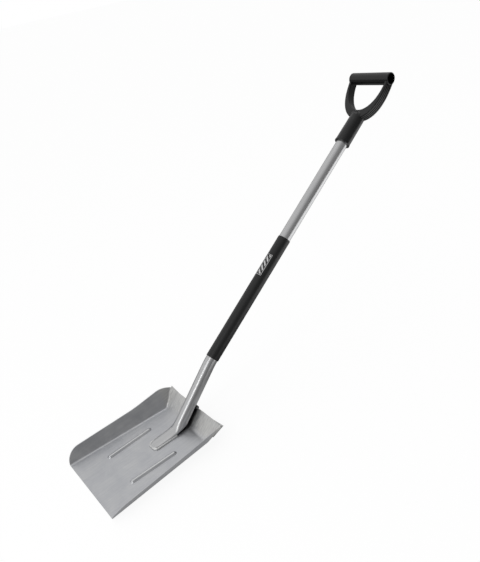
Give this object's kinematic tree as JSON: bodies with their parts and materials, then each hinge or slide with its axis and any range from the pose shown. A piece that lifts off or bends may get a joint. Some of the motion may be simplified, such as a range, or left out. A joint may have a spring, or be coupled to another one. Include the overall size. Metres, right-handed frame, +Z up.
{
  "type": "grain scoop shovel",
  "caption": "Grain scoop shovel with a pressed steel pan, raised beads, a bent tube shaft, a plastic grip sleeve and a hollow D-handle.",
  "frame": {"origin": "on the flat underside of the pan, in the plane of symmetry, 130 mm behind the cutting edge", "axes": "+X across the pan to the user's right, +Y from the cutting edge towards the handle, +Z up from the pan's floor"},
  "size_m": [0.2472, 1.045, 0.6411],
  "materials": {
    "pan_steel": "satin, faintly mottled",
    "tube_steel": "silver satin",
    "weld_steel": "rough",
    "sleeve_plastic": "satin",
    "label_film": "satin silver",
    "handle_plastic": "fine moulded grain",
    "screw_steel": "zinc plated"
  },
  "bodies": {
    "root": {"pan": "pan_steel", "shaft_tube": "tube_steel", "foot_weld": "weld_steel", "rim_weld": "weld_steel", "corner_weld_left": "weld_steel", "corner_weld_right": "weld_steel", "grip_sleeve": "sleeve_plastic", "sleeve_label": "label_film", "d_handle": "handle_plastic", "handle_screw": "screw_steel"}
  },
  "joints": []
}
